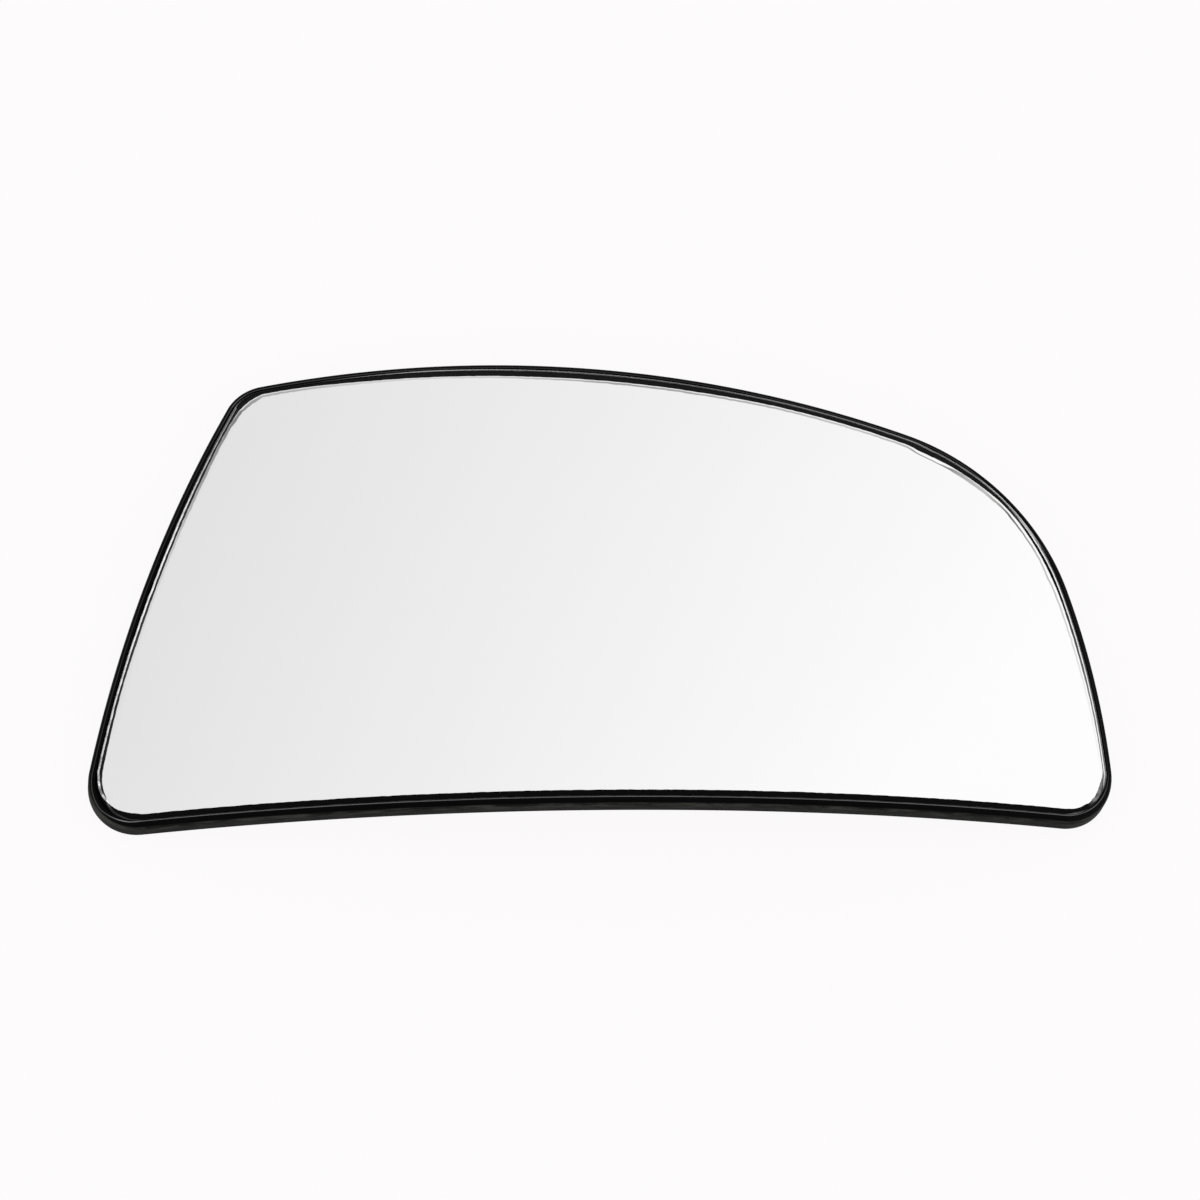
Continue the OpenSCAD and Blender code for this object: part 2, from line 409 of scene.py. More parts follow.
def united(first, others, name):
    """One closed mesh from overlapping closed shells."""
    joined = link(name, first)
    for mesh in others:
        cutter = link(name + "_part", mesh)
        joining = joined.modifiers.new("Join", "BOOLEAN")
        joining.operation = "UNION"
        joining.solver = "EXACT"
        joining.object = cutter
        result = evaluated_mesh(joined, name)
        joined.modifiers.remove(joining)
        old = joined.data
        joined.data = result
        bpy.data.meshes.remove(old)
        remove(cutter)
    mesh = joined.data
    bpy.data.objects.remove(joined)
    return mesh


# Small tools for node trees
class Field:
    """A number in a node tree. Arithmetic on it adds Math nodes."""

    def __init__(self, tree, socket):
        self.tree = tree
        self.socket = socket

    def calc(self, operation, first, second=None):
        node = self.tree.nodes.new("ShaderNodeMath")
        node.operation = operation
        plug(self.tree, node.inputs[0], first)
        if second is not None:
            plug(self.tree, node.inputs[1], second)
        return Field(self.tree, node.outputs[0])

    def __add__(self, other):
        return self.calc("ADD", self, other)

    def __sub__(self, other):
        return self.calc("SUBTRACT", self, other)

    def __rsub__(self, other):
        return self.calc("SUBTRACT", other, self)

    def __mul__(self, other):
        return self.calc("MULTIPLY", self, other)

    def __truediv__(self, other):
        return self.calc("DIVIDE", self, other)

    def __neg__(self):
        return self.calc("MULTIPLY", self, -1.0)

    def root(self):
        return self.calc("SQRT", self)

    def tangent(self):
        return self.calc("TANGENT", self)

    def held(self):
        """The number held between 0 and 1."""
        return self.calc("MAXIMUM", self.calc("MINIMUM", self, 1.0), 0.0)


def plug(tree, socket, value):
    """Links a socket to a node's first output, a field or a socket, or sets it to a value."""
    if isinstance(value, bpy.types.Node):
        value = value.outputs[0]
    if isinstance(value, Field):
        value = value.socket
    if isinstance(value, bpy.types.NodeSocket):
        tree.links.new(value, socket)
    else:
        socket.default_value = value


def add_node(tree, kind, inputs=None, **chosen):
    node = tree.nodes.new(kind)
    for name, value in chosen.items():
        setattr(node, name, value)
    for name, value in (inputs or {}).items():
        plug(tree, node.inputs[name], value)
    return node


class ShapeTree:
    """A Geometry Nodes tree with a geometry input and one named input for each size."""

    def __init__(self, name, sizes):
        self.sizes = sizes
        self.tree = bpy.data.node_groups.new(name, "GeometryNodeTree")
        face = self.tree.interface
        face.new_socket("Geometry", in_out="INPUT", socket_type="NodeSocketGeometry")
        face.new_socket("Geometry", in_out="OUTPUT", socket_type="NodeSocketGeometry")
        self.sockets = {}
        for label, value in sizes.items():
            kind = "NodeSocketInt" if isinstance(value, int) else "NodeSocketFloat"
            self.sockets[label] = face.new_socket(label, in_out="INPUT", socket_type=kind)
        self.way_in = self.tree.nodes.new("NodeGroupInput")

    def size(self, label):
        return Field(self.tree, self.way_in.outputs[label])

    def some(self, *labels):
        return [self.size(label) for label in labels]

    def add(self, kind, inputs=None, **chosen):
        return add_node(self.tree, kind, inputs, **chosen)

    def index(self):
        return Field(self.tree, self.add("GeometryNodeInputIndex").outputs[0])

    def vector(self, **parts):
        return self.add("ShaderNodeCombineXYZ", parts)

    def line(self, start, end):
        return self.add("GeometryNodeCurvePrimitiveLine", {"Start": start, "End": end})

    def level(self, curve):
        """The curve with normals that lie level, and point outwards on a loop."""
        return self.add("GeometryNodeSetCurveNormal", {"Curve": curve}, mode="Z_UP")

    def path(self):
        """The loop of edges that the tree is given, as a level curve."""
        loop = self.way_in.outputs["Geometry"]
        return self.level(self.add("GeometryNodeMeshToCurve", {"Mesh": loop}))

    def section(self, points):
        """A closed curve through points, each an offset and a depth."""
        ring = self.add("GeometryNodeMeshCircle", {"Vertices": len(points)}, fill_type="NONE")
        chosen = self.add("GeometryNodeIndexSwitch", data_type="VECTOR")
        while len(chosen.index_switch_items) < len(points):
            chosen.index_switch_items.new()
        plug(self.tree, chosen.inputs["Index"], self.index())
        for i, (offset, depth) in enumerate(points):
            plug(self.tree, chosen.inputs[str(i)], self.vector(X=offset, Y=depth))
        placed = self.add("GeometryNodeSetPosition", {"Geometry": ring, "Position": chosen})
        return self.add("GeometryNodeMeshToCurve", {"Mesh": placed})

    def sweep(self, curve, section, caps):
        return self.add("GeometryNodeCurveToMesh",
                        {"Curve": curve, "Profile Curve": section, "Fill Caps": caps})

    def copies(self, shape, count, at, turn, scale):
        """Copies of the shape as one mesh, each turned about the upright."""
        points = self.add("GeometryNodePoints", {"Count": count, "Position": at})
        placed = self.add("GeometryNodeInstanceOnPoints", {
            "Points": points, "Instance": shape, "Rotation": self.vector(Z=turn), "Scale": scale})
        return self.add("GeometryNodeRealizeInstances", {"Geometry": placed})

    def lay_on_dome(self, flat):
        """Bends a flat shape, whose depths run down from zero, onto the dome."""
        here = self.add("ShaderNodeSeparateXYZ", {"Vector": self.add("GeometryNodeInputPosition")})
        x, y, z = (Field(self.tree, socket) for socket in here.outputs)
        dome_r = self.size("Dome Radius")
        radius = dome_r + z
        from_apex = y + self.size("Apex Drop")
        height = (radius * radius - x * x - from_apex * from_apex).root() - dome_r
        there = self.vector(X=x, Y=y, Z=height + self.size("Lift"))
        return self.add("GeometryNodeSetPosition", {"Geometry": flat, "Position": there})

    def finish(self, shape, material):
        real = self.add("GeometryNodeRealizeInstances", {"Geometry": shape})
        dressed = self.add("GeometryNodeSetMaterial", {"Geometry": real, "Material": material})
        way_out = self.tree.nodes.new("NodeGroupOutput")
        plug(self.tree, way_out.inputs["Geometry"], dressed)

    def run(self, mesh, name):
        """The plain mesh that the tree makes from the given one."""
        carrier = link(name, mesh)
        modifier = carrier.modifiers.new(self.tree.name, "NODES")
        modifier.node_group = self.tree
        for label, value in self.sizes.items():
            modifier[self.sockets[label].identifier] = value
        made = evaluated_mesh(carrier, name)
        carrier.modifiers.remove(modifier)
        remove(carrier)
        face_outwards(made)
        return made


def loop_mesh(name, points):
    """A closed loop of edges through points in plan."""
    count = len(points)
    mesh = bpy.data.meshes.new(name)
    mesh.from_pydata([(p.x, p.y, 0.0) for p in points],
                     [(i, (i + 1) % count) for i in range(count)], [])
    return mesh


# Finishes
FLOAT = "NodeSocketFloat"
VECTOR = "NodeSocketVector"
PATCHES = "Patches And Grain"
BAND = "Band"
# The start of a band without a start and the end of one without an end, past all that shows, in mm
NO_START, NO_END = -1, 9
# How far in all the grain makes the lines on the silver and the ground edge stray, in mm
SILVER_STRAY, GROUND_STRAY = 0.3, 0.25
# How much of its way along the rim counts for a streak, so that streaks run along it
STREAK_PACE = 0.2
WHITE = (1, 1, 1)


def effect_group(name, inputs, outputs):
    """A shader node group with named inputs and outputs, the inputs' sockets and its end node."""
    group = bpy.data.node_groups.new(name, "ShaderNodeTree")
    for label, (kind, value) in inputs.items():
        socket = group.interface.new_socket(label, in_out="INPUT", socket_type=kind)
        if value is not None:
            socket.default_value = value
    for label in outputs:
        group.interface.new_socket(label, in_out="OUTPUT", socket_type=FLOAT)
    return group, group.nodes.new("NodeGroupInput").outputs, group.nodes.new("NodeGroupOutput")


def patchy_group():
    """Soft patches and fine grain over a surface, for wear, dust and uneven gloss."""
    group, given, way_out = effect_group(
        PATCHES,
        {"Vector": (VECTOR, None), "Patch Scale": (FLOAT, 60), "Grain Scale": (FLOAT, 1800),
         "From": (FLOAT, 0.4), "To": (FLOAT, 0.6)},
        ("Patches", "Grain"))
    patches = add_node(group, "ShaderNodeTexNoise", {
        "Vector": given["Vector"], "Scale": given["Patch Scale"], "Detail": 4, "Roughness": 0.6})
    sharpened = map_range(group, patches, given["From"], given["To"], 0, 1)
    grain = add_node(group, "ShaderNodeTexNoise", {
        "Vector": given["Vector"], "Scale": given["Grain Scale"], "Detail": 2, "Roughness": 0.5})
    plug(group, way_out.inputs["Patches"], sharpened)
    plug(group, way_out.inputs["Grain"], grain)
    return group


def band_group():
    """1 between a start and an end and 0 outside them, with soft ends."""
    group, given, way_out = effect_group(
        BAND, {"Value": (FLOAT, 0), "Start": (FLOAT, 0), "End": (FLOAT, 1), "Soft": (FLOAT, 0.1)},
        ("Share",))
    value, start, end, soft = (Field(group, given[name])
                               for name in ("Value", "Start", "End", "Soft"))
    rising = ((value - start) / soft + 0.5).held()
    falling = ((end - value) / soft + 0.5).held()
    plug(group, way_out.inputs["Share"], rising * falling)
    return group


def map_range(tree, value, low, high, to_low, to_high):
    return add_node(tree, "ShaderNodeMapRange", {
        "Value": value, "From Min": low, "From Max": high, "To Min": to_low, "To Max": to_high})


def blend(tree, factor, first, second):
    """Mix of two colours, by the sockets that a Mix node has for colours."""
    mix = tree.nodes.new("ShaderNodeMix")
    mix.data_type = "RGBA"
    sockets = [s for s in mix.inputs if s.enabled]
    plug(tree, sockets[0], factor)
    for socket, value in zip(sockets[1:], (first, second)):
        plug(tree, socket, value if isinstance(value, bpy.types.NodeSocket) else (*value, 1))
    return [s for s in mix.outputs if s.enabled][0]


def dimmed(colour, part):
    return [v * part for v in colour]


def at_least(share, least):
    """A share between 0 and 1 as one between the least and 1."""
    return share * (1 - least) + least


class Surface:
    """A material in the making, on the object's own coordinates and its mesh's numbers."""

    def __init__(self, name):
        self.material = bpy.data.materials.new(name)
        self.material.use_nodes = True
        self.tree = self.material.node_tree
        self.shader = self.tree.nodes["Principled BSDF"]
        self.here = self.tree.nodes.new("ShaderNodeTexCoord").outputs["Object"]

    def set(self, **values):
        """Links or sets the shader's sockets."""
        for label, value in values.items():
            plug(self.tree, self.shader.inputs[label.replace("_", " ")], value)

    def carried(self, name):
        """A number that the mesh carries at its points."""
        node = add_node(self.tree, "ShaderNodeAttribute", attribute_name=name)
        return Field(self.tree, node.outputs["Fac"])

    def wear(self, low, high, patch_scale, grain_scale, over=None):
        """Patches, sharpened between a low and a high share, and grain. Scales are per metre."""
        group = bpy.data.node_groups.get(PATCHES) or patchy_group()
        node = add_node(self.tree, "ShaderNodeGroup", {
            "Vector": over or self.here, "Patch Scale": patch_scale, "Grain Scale": grain_scale,
            "From": low, "To": high}, node_tree=group)
        return [Field(self.tree, socket) for socket in node.outputs]

    def band(self, value, start, end, soft):
        group = bpy.data.node_groups.get(BAND) or band_group()
        node = add_node(self.tree, "ShaderNodeGroup", {
            "Value": value, "Start": start, "End": end, "Soft": soft}, node_tree=group)
        return Field(self.tree, node.outputs["Share"])

    def blend(self, factor, first, second):
        return blend(self.tree, factor, first, second)

    def rough(self, value, least, most, low=0, high=1):
        """Roughness from the least to the most as a value goes from low to high."""
        return map_range(self.tree, value, low, high, least, most)

    def bump(self, height, strength, distance):
        return add_node(self.tree, "ShaderNodeBump", {
            "Height": height, "Strength": strength, "Distance": distance})


def mirror_material(finish):
    """The silver, with a painted dark reflection line near its edge and the faint smears of a cloth.
    """
    made = Surface("silvered_mirror")
    smears, grain = made.wear(low=0.35, high=0.7, patch_scale=22, grain_scale=700)
    after = (made.carried("silver_inset") - made.carried("dark_reflection_after")
             + (grain - 0.5) * SILVER_STRAY)
    # Painted reflection: a dark line inside the silver, blended towards the bare glass by its tone
    line = made.band(after, start=0, end=made.carried("dark_reflection_width"), soft=0.12)
    shine = made.blend(smears, finish.silver, dimmed(finish.silver, part=0.992))
    shine = made.blend(made.carried("dark_reflection_tone") * line, shine, finish.bare)
    made.set(Base_Color=shine, Metallic=1, Roughness=made.rough(smears, least=0.015, most=0.03))
    return made.material


def ground_material(finish):
    """The ground edge over the silver, chipped, with painted reflections: a light line and an inner
    part toned by the direction the edge faces, and a dark line between them.
    """
    made = Surface("ground_glass_edge")
    chips, grain = made.wear(low=0.46, high=0.56, patch_scale=800, grain_scale=450)
    inset = (made.carried("edge_inset") - made.carried("bright_reflection_at")
             + (grain - 0.5) * GROUND_STRAY)
    # Painted reflections: the light line and the inner part, toned by the direction the edge faces;
    # the chips are real wear
    light = made.band(inset, start=0, end=0.38, soft=0.06)
    inner = made.band(inset, start=0.52, end=NO_END, soft=0.06)
    tone = made.carried("bright_reflection_tone") * light + made.carried("inner_reflection_tone") * inner
    whole = 1.0 - made.carried("chipped") * chips
    made.set(Base_Color=made.blend(tone * whole, finish.bare, finish.ground), Roughness=0.45,
             Specular_IOR_Level=finish.gloss,
             Normal=made.bump(grain, strength=0.2, distance=0.04 * MM))
    return made.material


def paint_material(finish):
    """The paint that protects the silver, on the back of the glass."""
    made = Surface("backing_paint")
    patches, grain = made.wear(low=0.4, high=0.7, patch_scale=90, grain_scale=2000)
    made.set(Base_Color=made.blend(patches, finish.paint, dimmed(finish.paint, part=0.7)),
             Roughness=made.rough(grain, least=0.45, most=0.6))
    return made.material


def plastic_material(finish):
    """Black moulded plastic, mottled, with painted shade on the rim's shoulder, a painted sheen on
    its outer wall, and painted highlights along its crest and down its inner wall.
    """
    made = Surface("moulded_plastic")
    patches, grain = made.wear(low=0.45, high=0.75, patch_scale=260, grain_scale=2600)
    look = made.blend(patches, finish.plastic, finish.plastic_worn_and_sheen)
    depth, offset = made.carried("face_depth"), made.carried("edge_offset")
    flow = add_node(made.tree, "ShaderNodeCombineXYZ", {
        "X": made.carried("along_edge") * STREAK_PACE, "Y": depth * MM, "Z": offset * MM})
    streaks = made.wear(low=0.42, high=0.62, patch_scale=900, grain_scale=1800, over=flow)[0]
    # The rim is streaked, with a painted sheen that makes it lighter towards its top
    upper = made.band(depth, start=NO_START, end=1.9, soft=2.4)
    wall = made.blend(at_least(streaks, 0.2) * at_least(upper, 0.3),
                      finish.plastic_dark_and_shade, finish.plastic_worn_and_sheen)
    look = made.blend(made.band(offset, start=0.3, end=NO_END, soft=0.1), look, wall)
    # Its shoulder is painted near black, a painted shade
    shoulder = made.band(depth, start=NO_START, end=0.38, soft=0.2)
    look = made.blend(shoulder, look, finish.plastic_dark_and_shade)
    # A painted highlight runs along the crest, on the front
    crest = made.band(offset - made.carried("crest_highlight_out"), start=0, end=0.16, soft=0.06)
    front = made.band(depth, start=NO_START, end=0.25, soft=0.1)
    look = made.blend(made.carried("crest_highlight_tone") * crest * front, look, WHITE)
    # A painted highlight runs down the wall beside the glass
    inside = made.band(offset, start=0.1, end=0.18, soft=0.04)
    lit = made.band(depth, start=made.carried("wall_highlight_from"),
                    end=made.carried("wall_highlight_to"), soft=0.1)
    look = made.blend(made.carried("wall_highlight_tone") * inside * lit, look, WHITE)
    made.set(Base_Color=look, Specular_IOR_Level=finish.gloss,
             Roughness=made.rough(grain, least=0.45, most=0.6, low=0.2, high=0.8),
             Normal=made.bump(grain, strength=0.2, distance=0.02 * MM))
    return made.material


def foam_material(finish):
    """Dark closed-cell foam, all small bubbles."""
    made = Surface("adhesive_foam")
    bubbles = made.wear(low=0.3, high=0.7, patch_scale=700, grain_scale=5000)[0]
    made.set(Base_Color=made.blend(bubbles, dimmed(finish.foam, part=0.4), finish.foam),
             Roughness=0.95, Normal=made.bump(bubbles, strength=0.6, distance=0.1 * MM))
    return made.material


# The glass
class Shell:
    """A closed skin of rings that share their stations, between a back and a front middle point."""

    BACK, FRONT = 0, 1

    def __init__(self, count, back, front):
        self.count = count
        self.points = [back, front]
        self.faces = []
        self.bands = []
        self.rings = []

    def ring(self, points, bands):
        """Adds a ring. The bands are the materials of the faces up to it, one for all or a list."""
        start = len(self.points)
        self.points += points
        if self.rings:
            last = self.rings[-1]
            for i in range(self.count):
                j = (i + 1) % self.count
                self.faces.append((last + i, last + j, start + j, start + i))
                self.bands.append(bands if isinstance(bands, int) else bands[i])
        self.rings.append(start)

    def close(self, back_band, front_band):
        """Closes the last ring to the front's middle point, and the first to the back's."""
        first, last = self.rings[0], self.rings[-1]
        after = [(i + 1) % self.count for i in range(self.count)]
        self.faces += [(last + i, last + j, self.FRONT) for i, j in enumerate(after)]
        self.faces += [(first + j, first + i, self.BACK) for i, j in enumerate(after)]
        self.bands += [front_band] * self.count + [back_band] * self.count

    def mesh(self, name, materials):
        mesh = bpy.data.meshes.new(name)
        mesh.from_pydata([tuple(p) for p in self.points], [], self.faces)
        for material in materials:
            mesh.materials.append(material)
        mesh.polygons.foreach_set("material_index", self.bands)
        mesh.update()
        return mesh


def domed_rings(form, stations, inset, depth, count):
    """Rings of a domed face that draw in evenly from an inset edge towards the middle."""
    rim = [s.point(-inset) for s in stations]
    return [[form.on_dome(p * (1 - k / count), depth) for p in rim] for k in range(count)]


MIRROR, GROUND, PAINT = range(3)
FRONT_RINGS, BACK_RINGS, FLOOR_RINGS = 20, 6, 10
# Scales of the two wavers of the ground edge, per metre, and the level of the noise they read
SLOW_WAVER, QUICK_WAVER = 320, 1100
NOISE_LEVEL = 0.37
GLASS_CREASE, PLATE_CREASE = math.radians(20), math.radians(28)

# How the edge looks by the direction that it faces, in degrees anticlockwise from the right.
# Places are in mm and tones are shares of the lightest look.
# Most of these tones are painted reflections and highlights, so they change with that direction
EDGE_LOOKS = {
    # On the ground edge: where its painted light reflection line starts, its tone, the painted
    # reflection tone inside it, and the chips
    "bright_reflection_at": {
        0: 0, 30: 0, 35: -0.16, 41: -0.36, 56: -0.25, 66: -0.2, 71: -0.35, 86: -0.2, 93: -0.4,
        146: -0.4, 148: -0.25, 153: -0.2, 156: -0.06, 160: 0.16, 165: 0, 176: 0.28, 205: 0.5,
        213: 0.6, 230: 0, 270: -0.3, 285: -0.05, 303: -0.25, 315: -0.2, 322: -0.35, 335: -0.3,
        343: 0},
    "bright_reflection_tone": {
        0: 1, 34: 1, 39: 0.6, 44: 0.1, 54: 0.3, 66: 0.35, 75: 0.1, 86: 0.15, 93: 0.02, 144: 0.02,
        148: 0.4, 153: 0.5, 156: 0.8, 158: 1, 165: 1, 168: 0.7, 176: 0.9, 190: 0.9, 205: 0.6,
        213: 0.15, 225: 0.02, 270: 0.07, 285: 0.13, 305: 0.03, 330: 0.1, 341: 0.4, 350: 0.6},
    "inner_reflection_tone": {
        0: 0.4, 5: 0.4, 11: 0.08, 15: 0, 33: 0, 36: 0.04, 42: 0.006, 150: 0.01, 157: 0.03,
        163: 0.04, 168: 0.01, 195: 0.05, 205: 0.25, 213: 0.02, 220: 0, 306: 0, 311: 0.04,
        315: 0.15, 320: 0.2, 352: 0.17},
    "chipped": {
        0: 0.05, 150: 0.2, 163: 0.2, 170: 0.7, 190: 0.9, 205: 0.6, 215: 0, 300: 0.2, 318: 0.6,
        335: 0.5, 345: 0.2},
    # On the mirror: where the silver starts, and the painted dark reflection line some way inside it
    "silver_at": {
        0: 0.62, 3: 0.58, 7: 0.75, 11: 0.92, 15: 0.98, 19: 1.12, 24: 1.1, 30: 1, 33: 0.95,
        36: 0.82, 42: 0.78, 45: 0.88, 48: 1.05, 51: 1.2, 57: 1.38, 63: 1.48, 66: 1.57, 69: 1.52,
        72: 1.18, 75: 1.11, 78: 1.16, 81: 1.46, 87: 1.62, 90: 1.47, 93: 1.25, 96: 0.65, 114: 1.08,
        132: 1.2, 145: 1.15, 153: 0.95, 153.8: 0.66, 154.6: 0.62, 156: 0.84, 160: 1, 163: 0.98,
        165: 0.82, 168: 1.1, 177: 1.17, 190: 1.18, 205: 1.12, 213: 0.8, 222: 0.8, 230: 0.95,
        240: 1.12, 252: 1.3, 264: 1.3, 269: 1.15, 271: 1.15, 276: 1.16, 285: 1.04, 300: 1.06,
        309: 0.94, 315: 1.02, 321: 0.96, 339: 1.07, 345: 0.95, 351: 0.8},
    "dark_reflection_after": {
        0: 0.2, 9: 0.3, 15: 0.5, 20: 0.6, 24: 0.4, 30: 0.5, 36: 0.62, 40: 0.45, 45: 0.4, 48: 0.15,
        57: 0.12, 60: 0.5, 63: 0.75, 69: 0.7, 72: 0.25, 84: 0.2, 93: 0.1, 96: 0.25, 114: 0.2,
        147: 0.25, 153: 0.15, 154: 0, 156: 0, 160: 0.1},
    "dark_reflection_width": {
        0: 0.3, 20: 0.42, 30: 0.38, 36: 0.4, 42: 0.5, 48: 0.8, 57: 1, 60: 0.6, 63: 0.38, 69: 0.38,
        72: 0.45, 84: 0.45, 90: 0.3, 96: 0.5, 114: 0.75, 132: 0.65, 153: 0.62, 156: 0.55, 160: 0.3},
    "dark_reflection_tone": {
        0: 0, 8: 0.15, 15: 0.45, 24: 0.45, 30: 0.65, 36: 0.8, 39: 0.9, 43: 0.6, 48: 0.45, 54: 0.52,
        57: 0.6, 60: 0.75, 69: 0.85, 72: 0.55, 75: 0.38, 78: 0.5, 84: 0.6, 87: 0.4, 90: 0.25,
        93: 0.22, 96: 0.45, 113: 0.55, 147: 0.6, 153: 0.72, 156: 0.55, 160: 0.2, 163: 0.05, 166: 0},
    # On the rim: the painted highlight along its crest, and the painted highlight down its inner
    # wall
    "crest_highlight_out": {
        0: 0.5, 24: 0.5, 30: 0.03, 50: 0.03, 56: 0.4, 95: 0.42, 130: 0.5, 215: 1, 235: 0.65,
        255: 0.38, 268: 0.12, 295: 0.12, 315: 0.28, 345: 0.45},
    "crest_highlight_tone": {
        0: 0.015, 24: 0, 28: 0.05, 33: 0.5, 38: 1, 44: 1, 48: 0.4, 52: 0.04, 60: 0.03, 90: 0.03,
        96: 0.06, 115: 0.05, 132: 0.1, 150: 0.12, 155: 0.02, 180: 0.04, 225: 0.05, 235: 0.1,
        247: 0.22, 258: 0.14, 268: 0.2, 290: 0.16, 315: 0.1, 345: 0.04},
    "wall_highlight_from": {
        0: 0.1, 20: 0.25, 28: 0.15, 34: -0.05, 47: -0.15, 53: 0.1, 66: 0.2, 71: -0.1, 76: -0.15,
        81: 0.2, 87: 0.2, 91: -0.05, 96: 0.2, 145: 0, 152: 0, 156: 0.25},
    "wall_highlight_to": {
        0: 1.5, 45: 0.8, 66: 0.8, 71: 0.45, 76: 0.4, 81: 0.8, 91: 0.45, 120: 0.8, 345: 1.5},
    "wall_highlight_tone": {
        0: 1, 6: 0.4, 12: 0.2, 22: 0.3, 28: 1, 46: 1, 50: 0.85, 60: 0.6, 68: 0.6, 72: 0.55,
        76: 0.35, 84: 0.6, 88: 0.75, 91: 0.6, 95: 0.06, 130: 0.15, 145: 0.5, 148: 0.8, 153: 0.8,
        157: 0.1, 160: 0, 335: 0, 345: 0.4},
}
GLASS_LOOKS = ("bright_reflection_at", "bright_reflection_tone", "inner_reflection_tone", "chipped", "dark_reflection_after",
               "dark_reflection_width", "dark_reflection_tone")
RIM_LOOKS = ("crest_highlight_out", "crest_highlight_tone", "wall_highlight_from", "wall_highlight_to",
             "wall_highlight_tone")


def edge_look(direction, name):
    """One look of the edge, blended to the direction from the values above."""
    pairs = tuple(EDGE_LOOKS[name].items())
    degrees = math.degrees(math.atan2(direction.y, direction.x)) % 360
    after = next((i for i, pair in enumerate(pairs) if pair[0] > degrees), 0)
    low, high = pairs[after - 1], pairs[after]
    part = ((degrees - low[0]) % 360) / ((high[0] - low[0]) % 360)
    return low[1] * (1 - part) + high[1] * part


def carry(mesh, name, values):
    """Stores a number at every point of the mesh."""
    mesh.attributes.new(name, "FLOAT", "POINT").data.foreach_set("value", values)


def waver_at(point, scale, reach):
    """A smooth stray to either side, that depends on the place alone."""
    return reach * noise.noise(Vector((point.x * scale, point.y * scale, NOISE_LEVEL)))


def make_glass(form, finish):
    glass = form.glass
    stations = form.edge.stations(form.step)
    count = len(stations)
    middle = Vector((0, 0))
    skin = Shell(count, form.on_dome(middle, glass.thickness), form.on_dome(middle, 0))
    edge_inset = [glass.inner, glass.inner]
    silver_inset = [0.0, glass.inner]

    def domed(rings, band, silver):
        for ring in rings:
            skin.ring(ring, band)
            edge_inset.extend([glass.inner] * count)
            silver_inset.extend([silver] * count)

    def edge_ring(insets, depths, bands):
        skin.ring([form.on_dome(s.point(-inset), depth)
                   for s, inset, depth in zip(stations, insets, depths)], bands)
        edge_inset.extend(insets)
        silver_inset.extend(inset - edge for inset, edge in zip(insets, silvered))

    def on_chamfer(insets):
        return [glass.chamfer_h * max(0.0, 1 - inset / end) for inset, end in zip(insets, ground)]

    level = [0.0] * count
    ground = [glass.chamfer_w + waver_at(s.point(0), SLOW_WAVER, glass.waver)
              + waver_at(s.point(0), QUICK_WAVER, glass.waver / 2) for s in stations]
    silvered = [edge_look(s.out, "silver_at") * MM + waver_at(s.point(0), QUICK_WAVER, glass.waver)
                for s in stations]
    near = [min(pair) for pair in zip(ground, silvered)]
    # The two lines cross here and there, and a least gap keeps the faces between them whole
    least = glass.seam / 5
    far = [max(end, start, first + least) for end, start, first in zip(ground, silvered, near)]
    between = [MIRROR if start < end else GROUND for end, start in zip(ground, silvered)]
    back = domed_rings(form, stations, glass.inner, glass.thickness, BACK_RINGS)
    domed(reversed(back), PAINT, 0.0)
    edge_ring([glass.seam] * count, [glass.thickness] * count, PAINT)
    edge_ring(level, [glass.thickness - glass.seam] * count, GROUND)
    edge_ring(level, [glass.chamfer_h] * count, GROUND)
    edge_ring(near, on_chamfer(near), GROUND)
    edge_ring(far, on_chamfer(far), between)
    edge_ring([glass.border] * count, level, MIRROR)
    domed(domed_rings(form, stations, glass.inner, 0.0, FRONT_RINGS), MIRROR, glass.inner)
    skin.close(PAINT, MIRROR)
    mesh = skin.mesh("mirror_glass_dressed", [
        mirror_material(finish), ground_material(finish), paint_material(finish)])
    carry(mesh, "edge_inset", [inset / MM for inset in edge_inset])
    carry(mesh, "silver_inset", [inset / MM for inset in silver_inset])
    for name in GLASS_LOOKS:
        looks = [edge_look(s.out, name) for s in stations]
        carry(mesh, name, [0.0, 0.0] + looks * len(skin.rings))
    shade(mesh, GLASS_CREASE)
    return mesh


# The backing plate
CREST_STEPS, SHOULDER_STEPS, FOOT_STEPS, RIB_STEPS = 4, 14, 3, 4
# How deep in the floor each thing on its back is rooted, as a share of the floor's thickness
CLIP_ROOT, SPOKE_ROOT, EDGE_RIB_ROOT = 0.4, 0.5, 0.6
SPOKE_PIECES, RING_FACETS, SLOT_FACETS = 40, 192, 12
# A ray that is longer than the part, in metres
LONG_RAY = 1
# A fillet of half the slot's width, less a trace, so that the two on one side never meet
SLOT_FILLET = 0.4999


def quarter(steps):
    """The turns from 0 to 90 degrees in even steps."""
    return [math.radians(90) * k / steps for k in range(steps + 1)]


